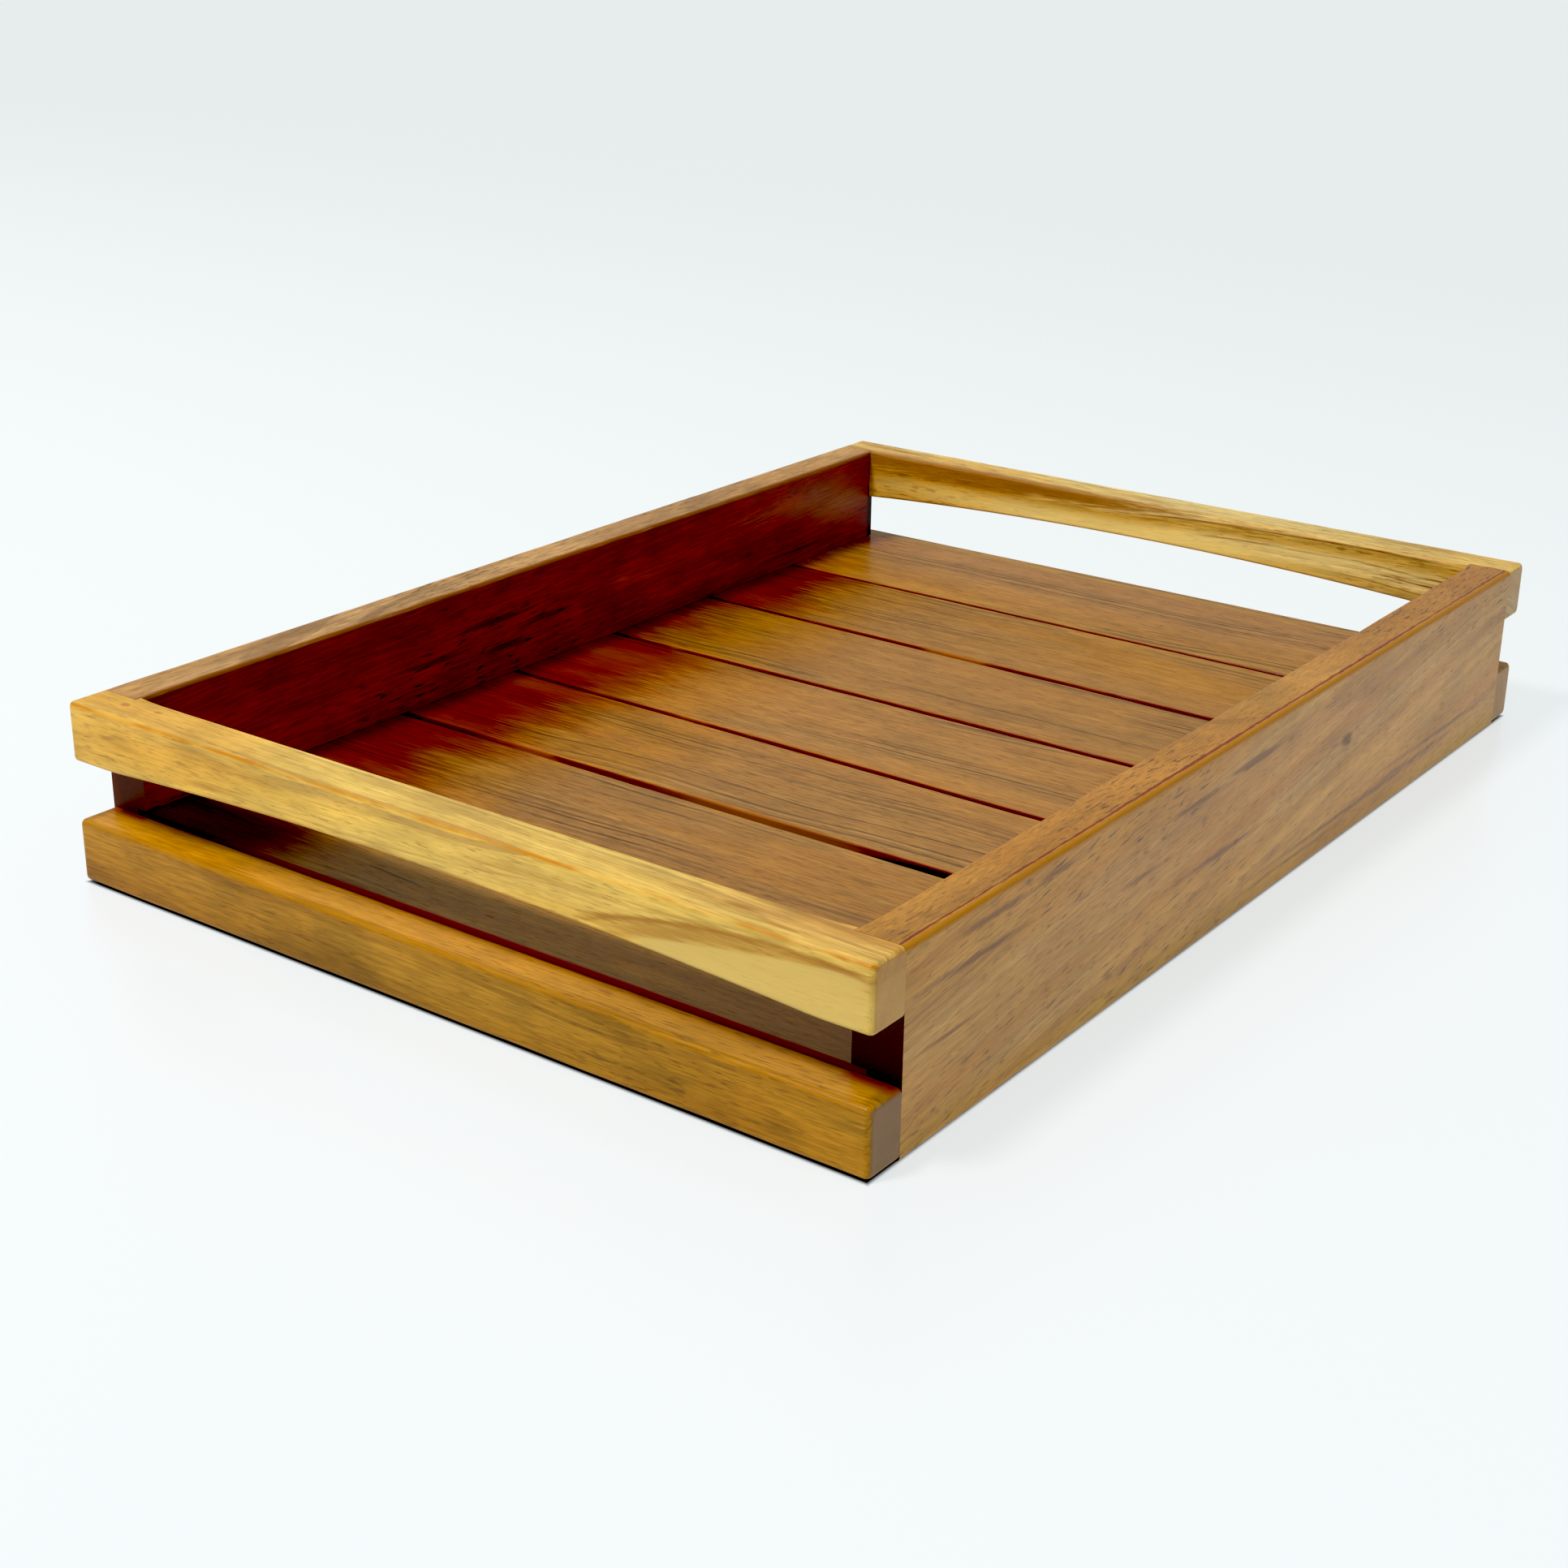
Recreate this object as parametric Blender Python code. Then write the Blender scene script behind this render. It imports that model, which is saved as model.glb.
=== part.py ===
"""Wooden serving tray: two side boards, two handle rails, two lower rails, a slatted floor and dowels.

Frame: +X across the width, +Y along the length, +Z up, origin on the ground under the tray's centre.
Lengths are in metres.
"""

import math

import bmesh
import bpy

# Overall size
TRAY_WIDTH = 0.300
TRAY_LENGTH = 0.430
TRAY_HEIGHT = 0.0605

# Boards and rails
SIDE_THICKNESS = 0.0155
HANDLE_RAIL_THICKNESS = 0.016
LOWER_RAIL_THICKNESS = 0.014
HANDLE_RAIL_BOTTOM = 0.0410
LOWER_RAIL_BOTTOM = 0.0008
LOWER_RAIL_TOP = 0.0213
CORNER_RADIUS = 0.003
ARRIS_RADIUS = 0.002
INNER_ARRIS_RADIUS = 0.001
ROUNDING_SEGMENTS = 3

# Finger arch under each handle rail
ARCH_HALF_SPAN = 0.132
ARCH_RISE = 0.0045
ARCH_STEPS = 24

# Slatted floor
SLAT_COUNT = 7
SLAT_THICKNESS = 0.007
SLAT_TOP = 0.0230
SLAT_GAP = 0.0012
SLAT_ARRIS_RADIUS = 0.0006
GROOVE_DEPTH = 0.005

# Dowels
DOWEL_RADIUS = 0.003
DOWEL_CHAMFER = 0.0005
DOWEL_SIDES = 24
DOWEL_DEPTH_IN_RAIL = 0.009
DOWEL_DEPTH_IN_BOARD = 0.020
LOWER_DOWEL_HEIGHT = 0.0085

FIT_GAP = 0.0003
CUTTER_OVERRUN = 0.002

# Values worked out from the ones above
SIDE_CENTRE_X = (TRAY_WIDTH - SIDE_THICKNESS) / 2
SIDE_INNER_X = TRAY_WIDTH / 2 - SIDE_THICKNESS
JOINT_Y = TRAY_LENGTH / 2 - LOWER_RAIL_THICKNESS
BOARD_END_Y = JOINT_Y - FIT_GAP
UPPER_DOWEL_HEIGHT = (HANDLE_RAIL_BOTTOM + TRAY_HEIGHT) / 2
SLAT_BOTTOM = SLAT_TOP - SLAT_THICKNESS
SLAT_HALF_LENGTH = SIDE_INNER_X + GROOVE_DEPTH - FIT_GAP

SIDES = {"left": -1, "right": 1}
ENDS = {"front": -1, "rear": 1}
DOWEL_HEIGHTS = {"upper": UPPER_DOWEL_HEIGHT, "lower": LOWER_DOWEL_HEIGHT}

# Wood colours (linear RGB) and roughness
SIDE_WOOD = {"left": (0.250, 0.105, 0.040), "right": (0.360, 0.200, 0.090)}
HANDLE_WOOD = {"front": (0.600, 0.380, 0.120), "rear": (0.520, 0.320, 0.100)}
LOWER_WOOD = {"front": (0.400, 0.210, 0.060), "rear": (0.380, 0.210, 0.080)}
SLAT_WOOD = (0.370, 0.200, 0.085)
SLAT_SHADE_STEP = 0.03
DOWEL_WOOD = (0.620, 0.440, 0.250)
LACQUER_ROUGHNESS = 0.35
BARE_WOOD_ROUGHNESS = 0.65


def clear_scene():
    """Remove every object that the file starts with."""
    for obj in list(bpy.data.objects):
        bpy.data.objects.remove(obj, do_unlink=True)


def wood_material(name, colour, roughness):
    """A Principled wood material of one colour."""
    material = bpy.data.materials.new(name)
    material.use_nodes = True
    shader = material.node_tree.nodes["Principled BSDF"]
    shader.inputs["Base Color"].default_value = (*colour, 1.0)
    shader.inputs["Roughness"].default_value = roughness
    shader.inputs["Metallic"].default_value = 0.0
    material.diffuse_color = (*colour, 1.0)
    return material


def add_object(name, bm, material=None):
    """Turn a bmesh into a linked object with outward faces."""
    bmesh.ops.recalc_face_normals(bm, faces=bm.faces)
    mesh = bpy.data.meshes.new(name)
    bm.to_mesh(mesh)
    bm.free()
    obj = bpy.data.objects.new(name, mesh)
    bpy.context.scene.collection.objects.link(obj)
    if material:
        mesh.materials.append(material)
    return obj


def add_box(bm, low, high):
    """Add a closed box between two opposite corners to a bmesh."""
    size = [high[axis] - low[axis] for axis in range(3)]
    centre = [(high[axis] + low[axis]) / 2 for axis in range(3)]
    corners = bmesh.ops.create_cube(bm, size=1.0)["verts"]
    for corner in corners:
        corner.co = [corner.co[axis] * size[axis] + centre[axis] for axis in range(3)]


def add_prism(bm, outline, low_y, high_y):
    """Add a closed prism: an XZ outline extruded along Y."""
    near = [bm.verts.new((x, low_y, z)) for x, z in outline]
    far = [bm.verts.new((x, high_y, z)) for x, z in outline]
    bm.faces.new(near)
    bm.faces.new(list(reversed(far)))
    count = len(outline)
    for index in range(count):
        following = (index + 1) % count
        bm.faces.new((near[following], near[index], far[index], far[following]))


def round_edges(obj, width, weight_of):
    """Round the edges that weight_of picks, each to its own share of width."""
    mesh = obj.data
    weights = mesh.attributes.new("bevel_weight_edge", "FLOAT", "EDGE")
    for edge in mesh.edges:
        start, end = (mesh.vertices[index].co for index in edge.vertices)
        weights.data[edge.index].value = weight_of(start, end)
    bevel = obj.modifiers.new("Rounded edges", "BEVEL")
    bevel.limit_method = "WEIGHT"
    bevel.width = width
    bevel.segments = ROUNDING_SEGMENTS


def cut(obj, cutter):
    """Subtract a cutter from an object."""
    boolean = obj.modifiers.new("Cut " + cutter.name, "BOOLEAN")
    boolean.operation = "DIFFERENCE"
    boolean.solver = "EXACT"
    boolean.object = cutter


def mark_as_cutter(obj):
    """Keep a cutter out of the model itself."""
    obj.hide_render = True
    obj.display_type = "WIRE"


def dowel_centre_y(end):
    """Middle of a dowel's length at one end of the tray."""
    return end * (JOINT_Y + (DOWEL_DEPTH_IN_RAIL - DOWEL_DEPTH_IN_BOARD) / 2)


def add_cylinder_along_y(bm, centre, radius, length):
    """Add a closed cylinder that lies along Y and return its vertices."""
    made = bmesh.ops.create_cone(
        bm, cap_ends=True, segments=DOWEL_SIDES, radius1=radius, radius2=radius, depth=length
    )
    for vert in made["verts"]:
        x, y, z = vert.co
        vert.co = (centre[0] + x, centre[1] + z, centre[2] - y)
    return made["verts"]


def make_dowel_hole_cutter():
    """Every dowel's hole, through the joint between a rail and a board."""
    length = DOWEL_DEPTH_IN_RAIL + DOWEL_DEPTH_IN_BOARD + 2 * FIT_GAP
    bm = bmesh.new()
    for side in SIDES.values():
        for end in ENDS.values():
            for height in DOWEL_HEIGHTS.values():
                centre = (side * SIDE_CENTRE_X, dowel_centre_y(end), height)
                add_cylinder_along_y(bm, centre, DOWEL_RADIUS + FIT_GAP, length)
    cutter = add_object("dowel_hole_cutter", bm)
    mark_as_cutter(cutter)
    return cutter


def make_groove_cutter():
    """The groove along each side board that holds the ends of the floor slats."""
    bm = bmesh.new()
    for side in SIDES.values():
        edges = sorted((side * (SIDE_INNER_X + GROOVE_DEPTH), side * (SIDE_INNER_X - CUTTER_OVERRUN)))
        low = (edges[0], -BOARD_END_Y - CUTTER_OVERRUN, SLAT_BOTTOM - FIT_GAP)
        high = (edges[1], BOARD_END_Y + CUTTER_OVERRUN, SLAT_TOP + FIT_GAP)
        add_box(bm, low, high)
    cutter = add_object("groove_cutter", bm)
    mark_as_cutter(cutter)
    return cutter


def make_rebate_cutter():
    """The rebates at the handle rails' ends, which lap over the ends of the side boards."""
    bm = bmesh.new()
    for side in SIDES.values():
        for end in ENDS.values():
            across = sorted((side * (SIDE_INNER_X - FIT_GAP), side * (TRAY_WIDTH / 2 + CUTTER_OVERRUN)))
            inner_y = TRAY_LENGTH / 2 - HANDLE_RAIL_THICKNESS - CUTTER_OVERRUN
            along = sorted((end * inner_y, end * JOINT_Y))
            low = (across[0], along[0], HANDLE_RAIL_BOTTOM - CUTTER_OVERRUN)
            high = (across[1], along[1], TRAY_HEIGHT + CUTTER_OVERRUN)
            add_box(bm, low, high)
    cutter = add_object("rebate_cutter", bm)
    mark_as_cutter(cutter)
    return cutter


def runs_along(axis, start, end):
    """Whether an edge runs along one axis only."""
    return all(abs(start[other] - end[other]) < FIT_GAP for other in range(3) if other != axis)


def make_side_board(side_name, cutters):
    """A full-height board with rounded long edges, square at the joints."""
    side = SIDES[side_name]
    low_x = side * SIDE_CENTRE_X - SIDE_THICKNESS / 2
    bm = bmesh.new()
    add_box(bm, (low_x, -BOARD_END_Y, 0.0), (low_x + SIDE_THICKNESS, BOARD_END_Y, TRAY_HEIGHT))
    material = wood_material(f"side_board_{side_name}", SIDE_WOOD[side_name], LACQUER_ROUGHNESS)
    board = add_object(f"side_board_{side_name}", bm, material)
    round_edges(board, ARRIS_RADIUS, lambda start, end: float(runs_along(1, start, end)))
    for cutter in cutters:
        cut(board, cutter)


def arched_outline():
    """Outline of a handle rail seen from the end of the tray, with its arched underside."""
    half_width = TRAY_WIDTH / 2
    outline = [(-half_width, TRAY_HEIGHT), (-half_width, HANDLE_RAIL_BOTTOM)]
    for step in range(ARCH_STEPS + 1):
        x = ARCH_HALF_SPAN * (2 * step / ARCH_STEPS - 1)
        rise = ARCH_RISE * (1 - (x / ARCH_HALF_SPAN) ** 2)
        outline.append((x, HANDLE_RAIL_BOTTOM + rise))
    outline += [(half_width, HANDLE_RAIL_BOTTOM), (half_width, TRAY_HEIGHT)]
    return outline


def straight_outline():
    """Outline of a lower rail seen from the end of the tray."""
    half_width = TRAY_WIDTH / 2
    return [
        (-half_width, LOWER_RAIL_TOP),
        (-half_width, LOWER_RAIL_BOTTOM),
        (half_width, LOWER_RAIL_BOTTOM),
        (half_width, LOWER_RAIL_TOP),
    ]


def make_rail(name, end_name, outline, thickness, inner_radius, colour, cutters):
    """A rail across the end of the tray, with rounded arrises and square joints."""
    end = ENDS[end_name]
    outer_y = end * TRAY_LENGTH / 2
    low_y, high_y = sorted((outer_y, outer_y - end * thickness))
    bm = bmesh.new()
    add_prism(bm, outline, low_y, high_y)
    rail = add_object(name, bm, wood_material(name, colour, LACQUER_ROUGHNESS))

    def radius_of(start, finish):
        if runs_along(1, start, finish):
            at_end_face = abs(start.x) > TRAY_WIDTH / 2 - FIT_GAP
            return ARRIS_RADIUS if at_end_face else 0.0
        upright = runs_along(2, start, finish)
        if abs(start.y - outer_y) > FIT_GAP:
            return 0.0 if upright else inner_radius
        return CORNER_RADIUS if upright else ARRIS_RADIUS

    round_edges(rail, CORNER_RADIUS, lambda start, finish: radius_of(start, finish) / CORNER_RADIUS)
    for cutter in cutters:
        cut(rail, cutter)


def make_handle_rail(end_name, cutters):
    """The arched upper rail that a hand lifts."""
    make_rail(
        f"{end_name}_handle_rail",
        end_name,
        arched_outline(),
        HANDLE_RAIL_THICKNESS,
        INNER_ARRIS_RADIUS,
        HANDLE_WOOD[end_name],
        cutters,
    )


def make_lower_rail(end_name, cutters):
    """The straight rail at floor level."""
    make_rail(
        f"{end_name}_lower_rail",
        end_name,
        straight_outline(),
        LOWER_RAIL_THICKNESS,
        0.0,
        LOWER_WOOD[end_name],
        cutters,
    )


def make_slat(index):
    """A floor slat that reaches into the grooves of both side boards."""
    floor_length = 2 * BOARD_END_Y
    pitch = (floor_length + SLAT_GAP) / SLAT_COUNT
    low_y = -BOARD_END_Y + index * pitch
    bm = bmesh.new()
    low = (-SLAT_HALF_LENGTH, low_y, SLAT_BOTTOM)
    high = (SLAT_HALF_LENGTH, low_y + pitch - SLAT_GAP, SLAT_TOP)
    add_box(bm, low, high)
    shade = 1 + SLAT_SHADE_STEP * (index % 3 - 1)
    colour = tuple(channel * shade for channel in SLAT_WOOD)
    name = f"floor_slat_{index + 1}"
    slat = add_object(name, bm, wood_material(name, colour, LACQUER_ROUGHNESS))
    round_edges(slat, SLAT_ARRIS_RADIUS, lambda start, end: float(runs_along(0, start, end)))


def make_dowel(end_name, level, side_name):
    """A dowel that pins a rail to a side board."""
    centre = (
        SIDES[side_name] * SIDE_CENTRE_X,
        dowel_centre_y(ENDS[end_name]),
        DOWEL_HEIGHTS[level],
    )
    bm = bmesh.new()
    add_cylinder_along_y(bm, centre, DOWEL_RADIUS, DOWEL_DEPTH_IN_RAIL + DOWEL_DEPTH_IN_BOARD)
    caps = [face for face in bm.faces if len(face.verts) > 4]
    rims = {edge for face in caps for edge in face.edges}
    bmesh.ops.bevel(bm, geom=list(rims), offset=DOWEL_CHAMFER, segments=1, affect="EDGES")
    name = f"dowel_{end_name}_{level}_{side_name}"
    dowel = add_object(name, bm, wood_material(name, DOWEL_WOOD, BARE_WOOD_ROUGHNESS))
    dowel.data.shade_smooth()
    dowel.data.set_sharp_from_angle(angle=math.radians(30))


def build_tray():
    """Build every part of the tray."""
    clear_scene()
    dowel_holes = make_dowel_hole_cutter()
    grooves = make_groove_cutter()
    rebates = make_rebate_cutter()
    for side_name in SIDES:
        make_side_board(side_name, (grooves, dowel_holes))
    for end_name in ENDS:
        make_handle_rail(end_name, (dowel_holes, rebates))
        make_lower_rail(end_name, (dowel_holes,))
    for index in range(SLAT_COUNT):
        make_slat(index)
    for end_name in ENDS:
        for level in DOWEL_HEIGHTS:
            for side_name in SIDES:
                make_dowel(end_name, level, side_name)


build_tray()
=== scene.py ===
"""Looks of the wooden serving tray.

Lofted boards, rails and slats with procedural wood stand for the CAD nodes. Around them are a pale
table, soft light and a camera at the photograph's angle. Lengths are in metres, angles in degrees,
and marks on the wood are in millimetres, where a comment doesn't say otherwise.
"""

import math
from typing import NamedTuple

import bmesh
import bpy
from mathutils import Matrix, Vector, noise


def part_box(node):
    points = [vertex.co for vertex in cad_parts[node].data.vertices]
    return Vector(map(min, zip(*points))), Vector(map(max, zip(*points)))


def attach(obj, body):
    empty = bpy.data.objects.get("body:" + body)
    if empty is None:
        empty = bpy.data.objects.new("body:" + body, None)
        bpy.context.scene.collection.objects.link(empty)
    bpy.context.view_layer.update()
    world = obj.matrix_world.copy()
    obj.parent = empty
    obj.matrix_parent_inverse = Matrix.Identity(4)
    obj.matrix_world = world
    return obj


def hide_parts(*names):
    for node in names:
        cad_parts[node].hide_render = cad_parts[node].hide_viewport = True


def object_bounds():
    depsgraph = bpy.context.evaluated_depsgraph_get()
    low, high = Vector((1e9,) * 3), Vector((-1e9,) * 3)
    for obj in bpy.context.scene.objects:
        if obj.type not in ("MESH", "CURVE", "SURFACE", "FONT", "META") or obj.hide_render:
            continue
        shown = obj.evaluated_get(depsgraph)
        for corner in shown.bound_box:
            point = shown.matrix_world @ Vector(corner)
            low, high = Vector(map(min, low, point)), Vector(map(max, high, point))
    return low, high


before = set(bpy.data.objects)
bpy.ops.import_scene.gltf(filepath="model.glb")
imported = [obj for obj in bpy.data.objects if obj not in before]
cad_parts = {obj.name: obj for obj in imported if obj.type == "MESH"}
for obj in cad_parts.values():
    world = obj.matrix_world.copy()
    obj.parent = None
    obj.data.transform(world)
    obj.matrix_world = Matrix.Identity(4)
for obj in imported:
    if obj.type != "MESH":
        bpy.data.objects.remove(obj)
CAD_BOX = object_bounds()
ROOT = "root"

MM = 0.001

# Rounding of the boards, rails and slats
CORNER_RADIUS = 2.0 * MM
ARRIS_RADIUS = 1.5 * MM
INNER_ARRIS_RADIUS = 1.2 * MM
SLAT_ARRIS_RADIUS = 0.9 * MM
SLAT_END_RADIUS = 0.3 * MM
JOINT_ARRIS_RADIUS = 0.12 * MM
CORNER_STEPS = 5
RAIL_FADE = 8.0 * MM
BOARD_FADE = 10.0 * MM

# Unevenness along the grain: the share by which a radius varies, the sawn edges' depth, and both
# patterns' waves per metre
RADIUS_WEAR = 0.25
WEAR_WAVE = 45.0
SAW_DEPTH = 0.12 * MM
SAW_WAVE = 160.0
SAW_SEED_STEP = 3.1
FAR_EDGE_SEED = 20

# Lofts
RING_SPACING = 5.0 * MM
SLAT_RING_SPACING = 3.0 * MM
MERGE_DISTANCE = 1e-6
SHORTEST_EDGE = 1e-7
SHARP_ANGLE = 40.0

# Clearances between pieces
JOINT_CLEARANCE = 0.02 * MM
GROOVE_CLEARANCE = 0.15 * MM

# Shares of arris colour at each corner of a piece's outline
HANDLE_RAIL_ARRISES = (0.3, 1.0, 0.6, 0.3)
LOWER_RAIL_ARRISES = (0.3, 1.0, 0.0, 0.0)
BOARD_ARRISES = {
    -1: (0.8, 1.0, 1.0, 0.0, 0.0, 0.0, 0.0, 0.3),
    1: (0.8, 1.0, 0.5, 0.0, 0.0, 0.0, 0.0, 0.3),
}
SLAT_FAR_ARRIS = 1.0
SLAT_NEAR_ARRIS = 0.8

# Finger arch under each handle rail
ARCH_HALF_SPAN = 132.0 * MM
ARCH_RISE = 4.5 * MM

# Gaps between slats, counted from the front: how far each one's left and right end lies from an
# even spacing, and its width there, in millimetres. GAP_FLARE is the power by which a gap widens.
GAP_FLARE = 0.8
GAPS = {
    1: (0.0, 0.0, 2.2, 2.2),
    2: (0.0, -0.5, 2.4, 5.2),
    3: (-0.1, -3.6, 2.2, 2.6),
    4: (-1.4, -2.0, 2.4, 2.7),
    5: (0.2, -3.0, 2.2, 3.4),
    6: (-0.5, -1.8, 1.8, 2.0),
}

# Camera, with its lens and sensor in millimetres
CAMERA_PLACE = (437.35 * MM, -648.70 * MM, 316.30 * MM)
CAMERA_TURN = 35.98
CAMERA_PITCH = 21.90
CAMERA_ROLL = 0.808
CAMERA_LENS = 55.46
SENSOR_WIDTH = 36.0

# Planes of the corner joints, from the frame
JOINT_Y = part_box("rear_lower_rail")[0][1]
SHOULDER_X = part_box("side_board_right")[0][0] - JOINT_CLEARANCE


# ---------------------------------------------------------------- meshes


def rounded_outline(corners):
    """Outline of a polygon whose corners are (x, y, radius); returns its points in order."""
    points = []
    count = len(corners)
    for index, (x, y, radius) in enumerate(corners):
        corner = Vector((x, y))
        before = Vector(corners[index - 1][:2])
        after = Vector(corners[(index + 1) % count][:2])
        back = (before - corner).normalized()
        ahead = (after - corner).normalized()
        centre = corner + (back + ahead) * radius
        for step in range(CORNER_STEPS + 1):
            angle = step / CORNER_STEPS * math.pi / 2
            reach = ahead * radius * math.cos(angle)
            points.append(centre - reach - back * radius * math.sin(angle))
    return points


def loft(name, rings, arris_of):
    """Closed mesh through rings of equal length.

    arris_of gives each point of a ring its share of arris colour.
    """
    bm = bmesh.new()
    arris = bm.verts.layers.float.new("arris")
    rows = []
    for ring in rings:
        row = [bm.verts.new(point) for point in ring]
        for index, vert in enumerate(row):
            vert[arris] = arris_of(index)
        rows.append(row)
    count = len(rows[0])
    for near, far in zip(rows, rows[1:]):
        for index in range(count):
            following = (index + 1) % count
            bm.faces.new((near[index], near[following], far[following], far[index]))
    bm.faces.new(list(reversed(rows[0])))
    bm.faces.new(rows[-1])
    bmesh.ops.remove_doubles(bm, verts=bm.verts, dist=MERGE_DISTANCE)
    bmesh.ops.dissolve_degenerate(bm, edges=bm.edges, dist=SHORTEST_EDGE)
    bmesh.ops.recalc_face_normals(bm, faces=bm.faces)
    mesh = bpy.data.meshes.new(name)
    bm.to_mesh(mesh)
    bm.free()
    mesh.shade_smooth()
    mesh.set_sharp_from_angle(angle=math.radians(SHARP_ANGLE))
    piece = bpy.data.objects.new(name, mesh)
    bpy.context.scene.collection.objects.link(piece)
    weighted = piece.modifiers.new("Flat faces stay flat", "WEIGHTED_NORMAL")
    weighted.keep_sharp = True
    return piece


def steps_between(low, high, spacing):
    """Evenly spaced positions from low to high."""
    count = max(2, round((high - low) / spacing))
    return [low + (high - low) * index / count for index in range(count + 1)]


def worn(radius, along, seed):
    """A radius that varies a little along the board, as sanded arrises do."""
    return radius * (1 + RADIUS_WEAR * noise.noise(Vector((along * WEAR_WAVE, seed, 0.0))))


def end_inset(radius, position, limit):
    """How far a face is rounded back at a position near the end of a piece."""
    past = max(0.0, abs(position) - (limit - radius))
    return radius - math.sqrt(max(0.0, radius * radius - past * past))


def end_positions(limit, radius):
    """Positions of the rings that round one end, from the flat part outwards."""
    angles = [step / CORNER_STEPS * math.pi / 2 for step in range(CORNER_STEPS + 1)]
    return [limit - radius + radius * math.sin(angle) for angle in angles]


def mirrored(positions):
    """Positions on both sides of zero, in rising order."""
    return sorted({-value for value in positions} | set(positions))


def millimetres(values):
    """A place or size in metres, from millimetres."""
    return tuple(value * MM for value in values)


def fade(value, start, end):
    """Smooth step from 0 at start to 1 at end."""
    share = min(1.0, max(0.0, (value - start) / (end - start)))
    return share * share * (3 - 2 * share)


# ---------------------------------------------------------------- pieces


def arris_share(corner_shares):
    """Function that gives an outline's points their corner's share, fading to 0 at the flats."""
    per_corner = CORNER_STEPS + 1

    def share(index):
        corner, step = divmod(index, per_corner)
        return corner_shares[corner] * math.sin(math.pi * step / CORNER_STEPS) ** 2

    return share


def dress(piece, node, material):
    """Give a piece its material and let it stand for a CAD node."""
    piece.data.materials.append(material)
    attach(piece, ROOT)
    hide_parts(node)


def arch_height(x):
    """How far the underside of a handle rail rises at x."""
    return ARCH_RISE * max(0.0, 1 - (x / ARCH_HALF_SPAN) ** 2)


def rail_ring(x, end, outline):
    """Turn an outline of (distance from the middle, height) into a ring across the tray."""
    return [Vector((x, end * point.x, point.y)) for point in outline]


def handle_rail(node, end, seed):
    """Arched upper rail that laps over the ends of both side boards."""
    low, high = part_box(node)
    half = high[0]
    outer = max(abs(low[1]), abs(high[1]))
    inner = min(abs(low[1]), abs(high[1]))

    def section(x, lapped):
        plan = end_inset(CORNER_RADIUS, x, half)
        edge = end_inset(ARRIS_RADIUS, x, half)
        bottom = low[2] + arch_height(x) + edge
        top = high[2] - edge
        outside = worn(ARRIS_RADIUS, x, seed)
        inside = JOINT_ARRIS_RADIUS
        if not lapped:
            inside += (INNER_ARRIS_RADIUS - inside) * fade(SHOULDER_X - abs(x), 0.0, RAIL_FADE)
        back = JOINT_Y if lapped else inner
        corners = [
            (outer - plan, bottom, outside),
            (outer - plan, top, outside),
            (back, top, inside),
            (back, bottom, inside),
        ]
        return rail_ring(x, end, rounded_outline(corners))

    between = steps_between(0.0, SHOULDER_X, RING_SPACING)
    flat = steps_between(SHOULDER_X, half - CORNER_RADIUS, RING_SPACING)
    lap = sorted(set(flat + end_positions(half, CORNER_RADIUS)))
    rings = [section(-x, True) for x in reversed(lap)]
    rings += [section(x, False) for x in mirrored(between)]
    rings += [section(x, True) for x in lap]
    return loft(node.replace("_rail", "_rail_wood"), rings, arris_share(HANDLE_RAIL_ARRISES))


def lower_rail(node, end, seed):
    """Straight rail at floor level, square against the boards' ends."""
    low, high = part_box(node)
    half = high[0]
    outer = max(abs(low[1]), abs(high[1]))
    inner = min(abs(low[1]), abs(high[1]))

    def section(x):
        plan = end_inset(CORNER_RADIUS, x, half)
        edge = end_inset(ARRIS_RADIUS, x, half)
        outside = worn(ARRIS_RADIUS, x, seed)
        corners = [
            (outer - plan, low[2] + edge, outside),
            (outer - plan, high[2] - edge, outside),
            (inner, high[2] - edge, JOINT_ARRIS_RADIUS),
            (inner, low[2] + edge, JOINT_ARRIS_RADIUS),
        ]
        return rail_ring(x, end, rounded_outline(corners))

    flat = steps_between(0.0, half - CORNER_RADIUS, RING_SPACING)
    rings = [section(x) for x in mirrored(flat + end_positions(half, CORNER_RADIUS))]
    return loft(node.replace("_rail", "_rail_wood"), rings, arris_share(LOWER_RAIL_ARRISES))


def side_board(node, side, seed):
    """Full-height board with the groove that holds the slats' ends."""
    low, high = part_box(node)
    outer = max(abs(low[0]), abs(high[0]))
    inner = min(abs(low[0]), abs(high[0]))
    slat_low, slat_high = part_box("floor_slat_1")
    groove_top = slat_high[2] + GROOVE_CLEARANCE
    groove_bottom = slat_low[2] - GROOVE_CLEARANCE
    groove_back = slat_high[0] + GROOVE_CLEARANCE
    reach = JOINT_Y - JOINT_CLEARANCE

    def section(y):
        outside = worn(ARRIS_RADIUS, y, seed)
        free = INNER_ARRIS_RADIUS * fade(reach - abs(y), 0.0, BOARD_FADE)
        inside = max(JOINT_ARRIS_RADIUS, worn(free, y, seed + 1))
        corners = [
            (outer, low[2], outside),
            (outer, high[2], outside),
            (inner, high[2], inside),
            (inner, groove_top, JOINT_ARRIS_RADIUS),
            (groove_back, groove_top, JOINT_ARRIS_RADIUS),
            (groove_back, groove_bottom, JOINT_ARRIS_RADIUS),
            (inner, groove_bottom, JOINT_ARRIS_RADIUS),
            (inner, low[2], inside),
        ]
        outline = rounded_outline(corners)
        return [Vector((side * point.x, y, point.y)) for point in outline]

    rings = [section(y) for y in steps_between(-reach, reach, RING_SPACING)]
    return loft(f"{node}_wood", rings, arris_share(BOARD_ARRISES[side]))


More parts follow.
